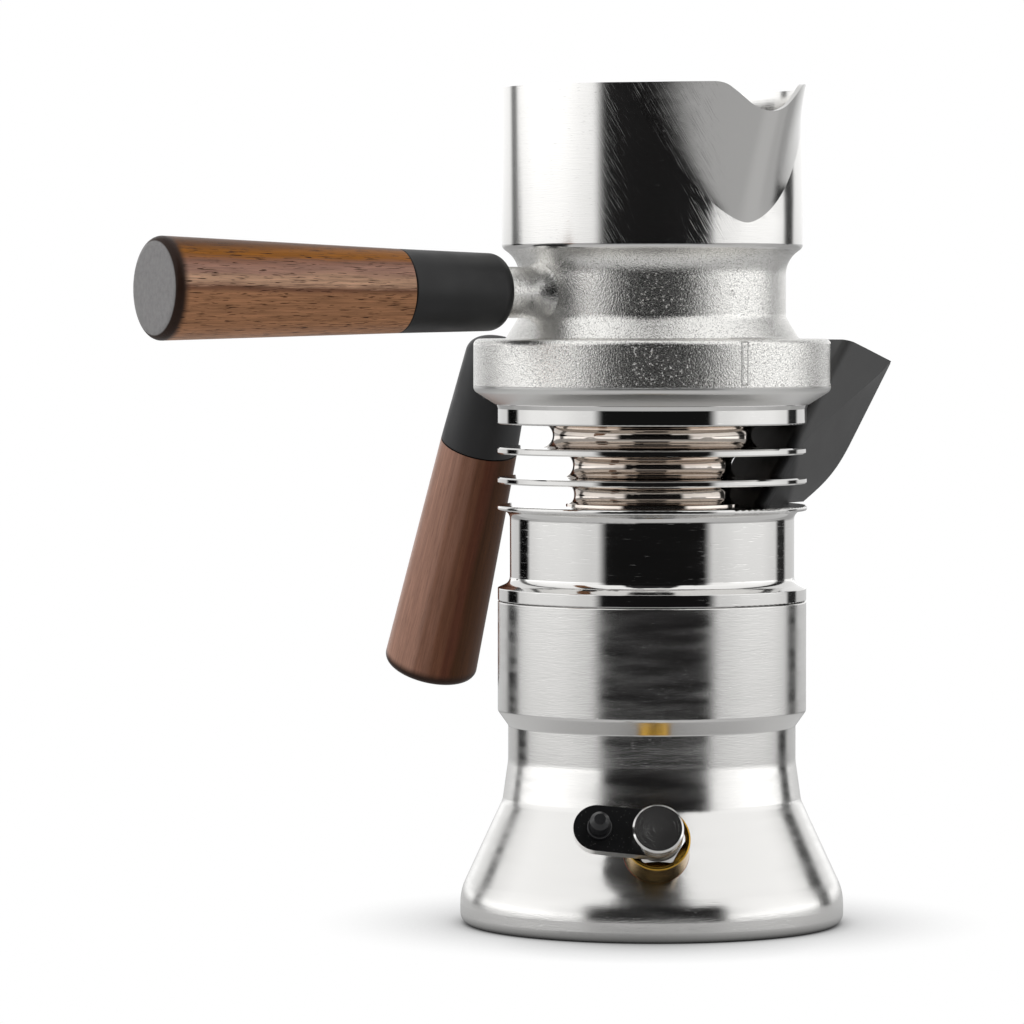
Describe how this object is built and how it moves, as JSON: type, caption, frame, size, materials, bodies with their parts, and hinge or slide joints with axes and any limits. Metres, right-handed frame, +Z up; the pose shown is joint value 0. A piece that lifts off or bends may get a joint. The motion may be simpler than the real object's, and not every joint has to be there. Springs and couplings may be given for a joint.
{
  "type": "stovetop espresso maker",
  "caption": "Stovetop espresso maker: steel base with a relief valve, finned upper boiler with a cold bath and filler chute, screw-on spouted jug, and two wood grips.",
  "frame": {"origin": "middle of the base's underside, on the pot's axis", "axes": "+Z up along the pot's axis; -X along the jug's handle; +Y towards the boiler's handle; +X towards the filler chute"},
  "size_m": [0.243, 0.203, 0.24],
  "materials": {
    "base_steel": "turned and satin brushed",
    "boiler_steel": "fine turned, near mirror",
    "jug_steel": "blasted cast ring and neck, brushed cup",
    "fitting_steel": "turned",
    "sheet_steel": "pressed and polished",
    "tube_steel": "drawn tube",
    "valve_brass": "turned",
    "lever_black": "satin black",
    "handle_black": "satin moulded",
    "chute_black": "satin moulded",
    "walnut": "oiled, open grain",
    "seal_rubber": "moulded"
  },
  "bodies": {
    "base": {"boiler_base": "base_steel", "relief_valve_body": "valve_brass", "relief_washer": "seal_rubber", "relief_nut": "valve_brass", "relief_hex": "fitting_steel", "relief_cap": "fitting_steel", "relief_spring": "fitting_steel"},
    "relief_lever": {"relief_lever": "lever_black", "lever_pin": "fitting_steel"},
    "relief_poppet": {"relief_poppet": "fitting_steel"},
    "boiler_seal": {"boiler_gasket": "seal_rubber"},
    "upper_boiler": {"bath_shell": "boiler_steel", "bath_floor": "sheet_steel", "boiler_head": "boiler_steel", "head_o_ring": "seal_rubber", "coil_banjo": "fitting_steel", "head_nut": "fitting_steel", "cooling_coil": "tube_steel", "riser_union": "fitting_steel", "union_nut": "fitting_steel", "riser_tube": "tube_steel", "brew_valve_body": "valve_brass", "brew_valve_cap": "valve_brass", "brew_valve_spring": "fitting_steel", "filler_chute": "chute_black", "chute_screws": "fitting_steel", "handle_bracket": "handle_black", "bracket_screws": "fitting_steel", "boiler_grip": "walnut", "boiler_rod": "fitting_steel"},
    "brew_poppet": {"brew_valve_poppet": "fitting_steel"},
    "basket": {"filter_basket": "sheet_steel", "basket_screen": "sheet_steel"},
    "group_seal": {"group_gasket": "seal_rubber"},
    "jug": {"jug": "jug_steel", "upper_screen": "sheet_steel", "coffee_column": "fitting_steel", "column_cap": "fitting_steel", "jug_ferrule": "handle_black", "jug_grip": "walnut", "jug_rod": "fitting_steel"}
  },
  "joints": [
    {"name": "boiler_rise", "type": "slide", "parent": "base", "child": "boiler_seal", "axis": [0, 0, 1], "range_m": [0, 0.0211]},
    {"name": "boiler_turn", "type": "hinge", "parent": "boiler_seal", "child": "upper_boiler", "pos_m": [0, 0, 0.08], "axis": [0, 0, 1], "range_deg": [0, 2520]},
    {"name": "jug_rise", "type": "slide", "parent": "upper_boiler", "child": "group_seal", "axis": [0, 0, 1], "range_m": [0, 0.0121]},
    {"name": "jug_turn", "type": "hinge", "parent": "group_seal", "child": "jug", "pos_m": [0, 0, 0.155], "axis": [0, 0, 1], "range_deg": [0, 1440]},
    {"name": "basket_lift", "type": "slide", "parent": "upper_boiler", "child": "basket", "axis": [0, 0, 1], "range_m": [0, 0.0061]},
    {"name": "relief_lever_swing", "type": "hinge", "parent": "base", "child": "relief_lever", "pos_m": [-0.02423, -0.0413, 0.0251], "axis": [-0.4592, -0.7827, 0.4201], "range_deg": [-90, 90]},
    {"name": "relief_poppet_lift", "type": "slide", "parent": "base", "child": "relief_poppet", "axis": [-0.4592, -0.7827, 0.4201], "range_m": [0, 0.0015], "stiffness_N_per_m": 2000, "springref_m": -0.0008, "deforming": ["relief_spring"]},
    {"name": "brew_poppet_lift", "type": "slide", "parent": "upper_boiler", "child": "brew_poppet", "axis": [0, 0, 1], "range_m": [0, 0.0025], "stiffness_N_per_m": 600, "springref_m": -0.002, "deforming": ["brew_valve_spring"]}
  ],
  "couplings": [
    {"joint": "boiler_rise", "follows": "boiler_turn", "m_per_rad": 0.00047746},
    {"joint": "jug_rise", "follows": "jug_turn", "m_per_rad": 0.00047746},
    {"joint": "basket_lift", "follows": "jug_turn", "m_per_rad": 0.00023873}
  ]
}
